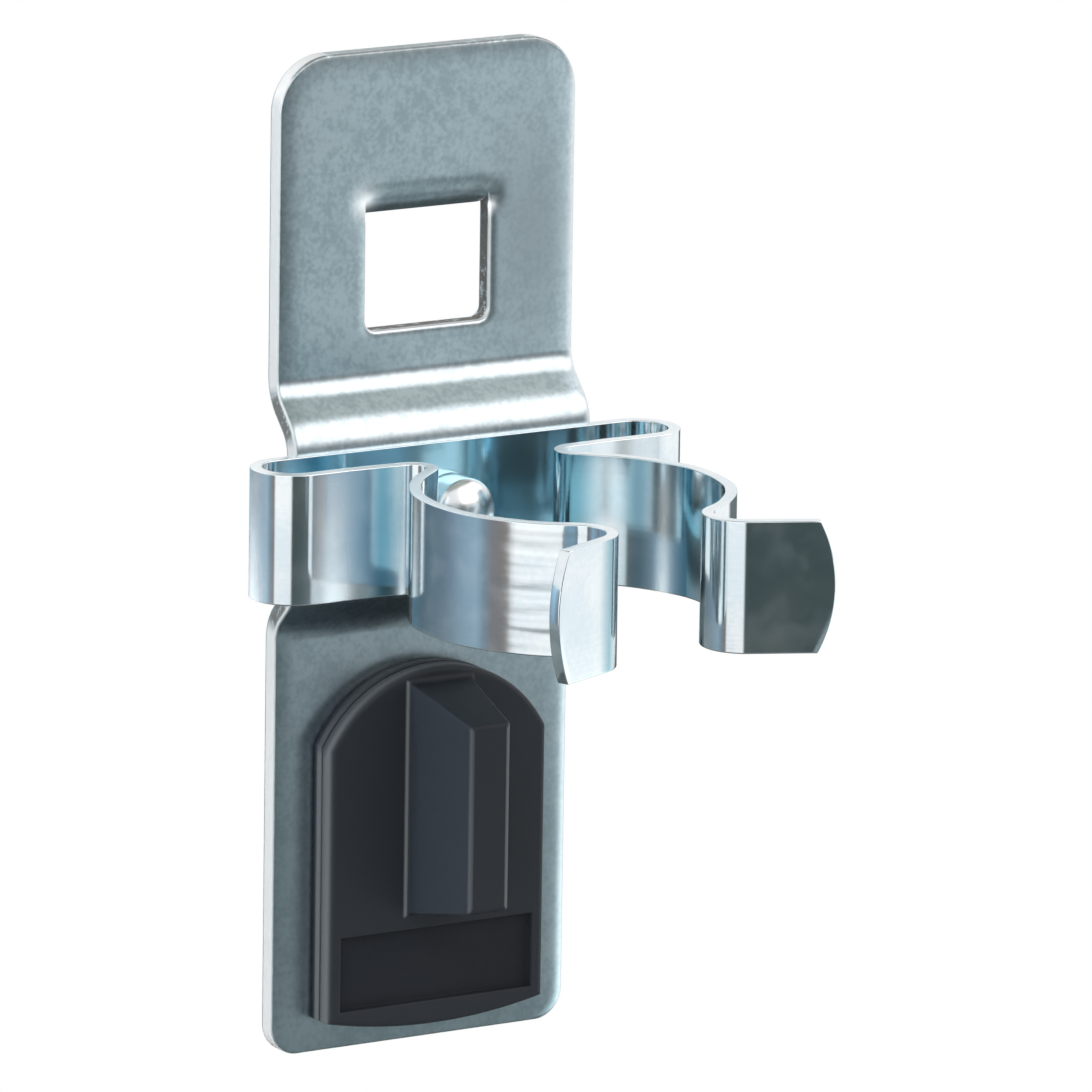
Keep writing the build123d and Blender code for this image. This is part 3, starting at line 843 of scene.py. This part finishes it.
def hangCard(name, reach, low, high, stops, fade=(1.0, 1.0)):
    # part of a globe seen only in mirrors: its colour runs between stops of (azimuth, colour)
    # azimuth 0 is straight in front, right is positive; low and high are elevations, fade the share at each
    rows = stageSpec["cardRows"]
    at = np.array([stop[0] for stop in stops], float)
    azimuth = spread(at, 4)
    elevation = np.radians(np.linspace(low, high, rows))[:, None]
    ring = np.radians(azimuth)[None]
    flat = np.cos(elevation)
    globe = np.stack([flat * np.sin(ring), -flat * np.cos(ring), np.sin(elevation) + 0 * ring], -1)
    number = np.arange(rows * len(azimuth)).reshape(rows, -1)
    quads = np.stack([number[:-1, :-1], number[:-1, 1:], number[1:, 1:], number[1:, :-1]], -1)
    card = stageMesh(name, globe.reshape(-1, 3) * reach, quads.reshape(-1, 4).tolist())
    channels = [np.interp(azimuth, at, [stop[1][k] for stop in stops]) for k in range(3)]
    tint = np.tile(np.stack(channels + [np.ones(len(azimuth))], 1), (rows, 1))
    tint[:, :3] *= np.repeat(np.linspace(*fade, rows), len(azimuth))[:, None]
    layer = card.data.attributes.new("tint", "FLOAT_COLOR", "POINT")
    layer.data.foreach_set("color", tint.astype(np.float32).ravel())
    card.visible_camera = False
    card.visible_shadow = False
    card.visible_diffuse = False
    paint = Finish(name)
    colour = paint.node("ShaderNodeAttribute", {"attribute_name": "tint"}, {}, "Color")
    paint.surface(paint.node("ShaderNodeEmission", {}, {"Color": colour, "Strength": 1.0}))
    card.data.materials.append(paint.material)


def makeLamp(name, place, aim, size, power):
    data = bpy.data.lights.new(name, "AREA")
    data.shape, data.size, data.energy = "DISK", size, power
    lamp = bpy.data.objects.new(name, data)
    lamp.location = place
    lamp.rotation_euler = (Vector(aim) - Vector(place)).to_track_quat("-Z", "Y").to_euler()
    lamp.visible_glossy = False
    bpy.context.scene.collection.objects.link(lamp)


makeFloor(stageSpec)
white, room, slate = (1.0, 1.0, 1.0), (0.062, 0.080, 0.080), (0.05, 0.075, 0.08)
around = [
    (-205, (0.33, 0.45, 0.54)), (-178, (0.10, 0.23, 0.32)), (-160, (0.085, 0.14, 0.18)),
    (-141, (0.13, 0.19, 0.24)), (-122, (0.20, 0.28, 0.36)), (-100, (0.28, 0.41, 0.51)),
    (-92, (0.19, 0.27, 0.34)), (-85, (0.20, 0.21, 0.23)), (-78.5, (0.20, 0.17, 0.16)),
    (-74.5, white), (-33, white), (-28, room), (21, slate), (33, (0.85, 0.90, 0.93)), (60, white),
]
hangCard("surround", stageSpec["cardReach"], -17.5, 6.5, around, (0.85, 1.8))
hangCard("horizon", stageSpec["horizonReach"], -4, 12.5, [(-28, room), (58, slate), (64, white)])
boxGlow, roof, dusk = (2.3, 2.05, 2.0), (0.37, 0.395, 0.365), (0.15, 0.18, 0.19)
hangCard("softBox", stageSpec["cardReach"], 13, 50, [(0, boxGlow), (75, boxGlow)])
hangCard("ceiling", stageSpec["cardReach"], 52, 88, [(-180, roof), (180, roof)])
hangCard("backShade", stageSpec["backReach"], -17.5, -4, [(112, white), (120, dusk), (165, dusk)])
# floor seen in the strip: rings of (low, high, share all round, share at the right)
shades = ((-22, -18, 0.28, 1.4), (-30, -22, 0.20, 1.4), (-42, -30, 0.24, 1.4),
          (-50, -42, 0.22, 0.7), (-88, -50, 0.09, 0.09))
behind, coolTint = 0.08, (0.95, 1.10, 1.13)
for low, high, share, glow in shades:
    near, right, far = np.outer((share, glow, behind), coolTint)
    stops = [(-180, far), (-160, near), (46, near), (62, right), (90, right), (108, far), (180, far)]
    hangCard("floorShade", stageSpec["shadeReach"], low, high, stops)
makeLamp("keyLamp", (-0.55, -0.75, 0.95), stageSpec["lampAim"], 0.5, 6.0)
makeLamp("sideLamp", (-1.0, 0.05, 0.05), stageSpec["lampAim"], 0.4, 12.0)
world = bpy.data.worlds.new("studio")
world.use_nodes = True
sky = world.node_tree.nodes["Background"]
sky.inputs["Color"].default_value = (1, 1, 1, 1)
sky.inputs["Strength"].default_value = stageSpec["sky"]
bpy.context.scene.world = world
bpy.context.scene.view_settings.view_transform = "Standard"
print("stage set")


cameraSpec = {"azimuth": 30.70, "elevation": 13.152, "roll": 0.894, "distance": 795.131, "focal": 11138.449,
              "aim": (10.891, 0.0, -22.396), "frame": 1092, "sensor": 36}  # focal and frame in pixels


def makeCamera(c):
    a, e, r = np.radians([c["azimuth"], c["elevation"], c["roll"]])
    back = np.array([-np.sin(a) * np.cos(e), -np.cos(a) * np.cos(e), np.sin(e)])
    side = np.array([np.cos(a), -np.sin(a), 0])
    up = np.cross(back, side)
    axes = np.stack([np.cos(r) * side + np.sin(r) * up, np.cos(r) * up - np.sin(r) * side, back], 1)
    data = bpy.data.cameras.new("photoView")
    data.sensor_width = c["sensor"]
    data.lens = c["sensor"] * c["focal"] / c["frame"]
    data.clip_start, data.clip_end = 0.05, 20
    eye = bpy.data.objects.new("photoView", data)
    place = Matrix(axes.tolist()).to_4x4()
    place.translation = (np.array(c["aim"]) + c["distance"] * back) * mm
    eye.matrix_world = place
    bpy.context.scene.collection.objects.link(eye)
    bpy.context.scene.camera = eye


makeCamera(cameraSpec)
print("camera set")

plain = lambda box: [[float(v) for v in corner] for corner in box]
{"cad": plain(cadBounds), "dressed": plain(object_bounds())}
